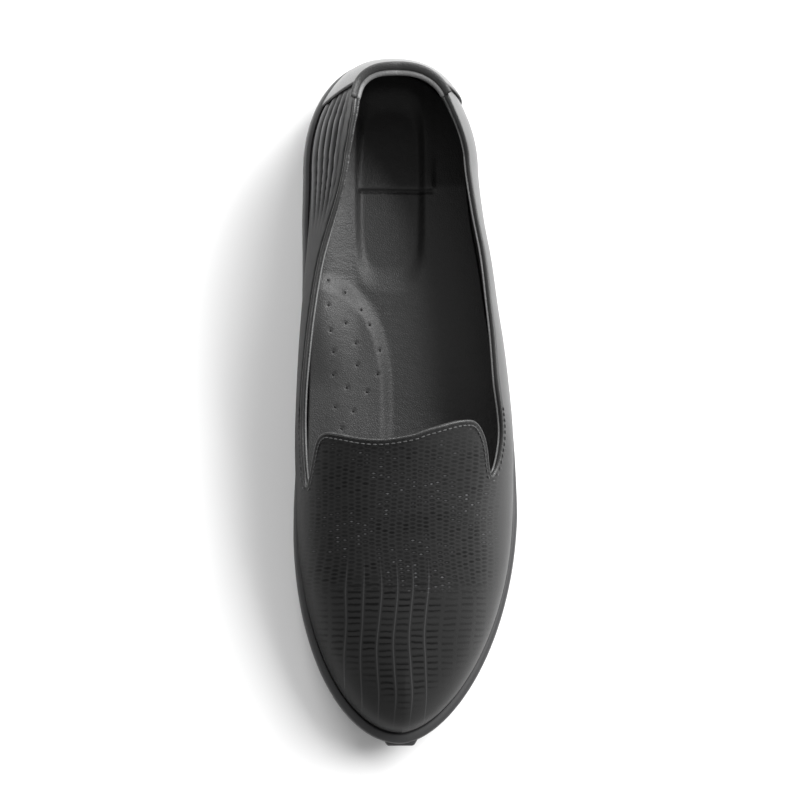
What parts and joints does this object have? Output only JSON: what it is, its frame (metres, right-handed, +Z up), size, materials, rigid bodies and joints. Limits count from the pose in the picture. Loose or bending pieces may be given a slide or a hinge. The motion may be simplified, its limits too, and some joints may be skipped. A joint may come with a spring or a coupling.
{
  "type": "slip-on loafer shoe, left",
  "caption": "Low women's slip-on loafer with a tab vamp in lizard-print black leather, a plain heel counter, a leather-lined inside and a moulded rubber sole",
  "frame": {"origin": "on the floor under the middle of the heel", "axes": "+Z up, -Y towards the toe, +X towards the outer side of the left foot"},
  "size_m": [0.0851, 0.259, 0.0724],
  "materials": {
    "upper_leather": "black lizard-embossed calf leather, satin gloss",
    "counter_leather": "plain smooth black leather, satin gloss",
    "lining_leather": "soft black lining leather with a fine wrinkled grain",
    "sole_rubber": "black moulded rubber, matt with a polished lip"
  },
  "bodies": {
    "root": {"upper": "upper_leather", "heel_counter": "counter_leather", "insole": "lining_leather", "sole": "sole_rubber"}
  },
  "joints": []
}
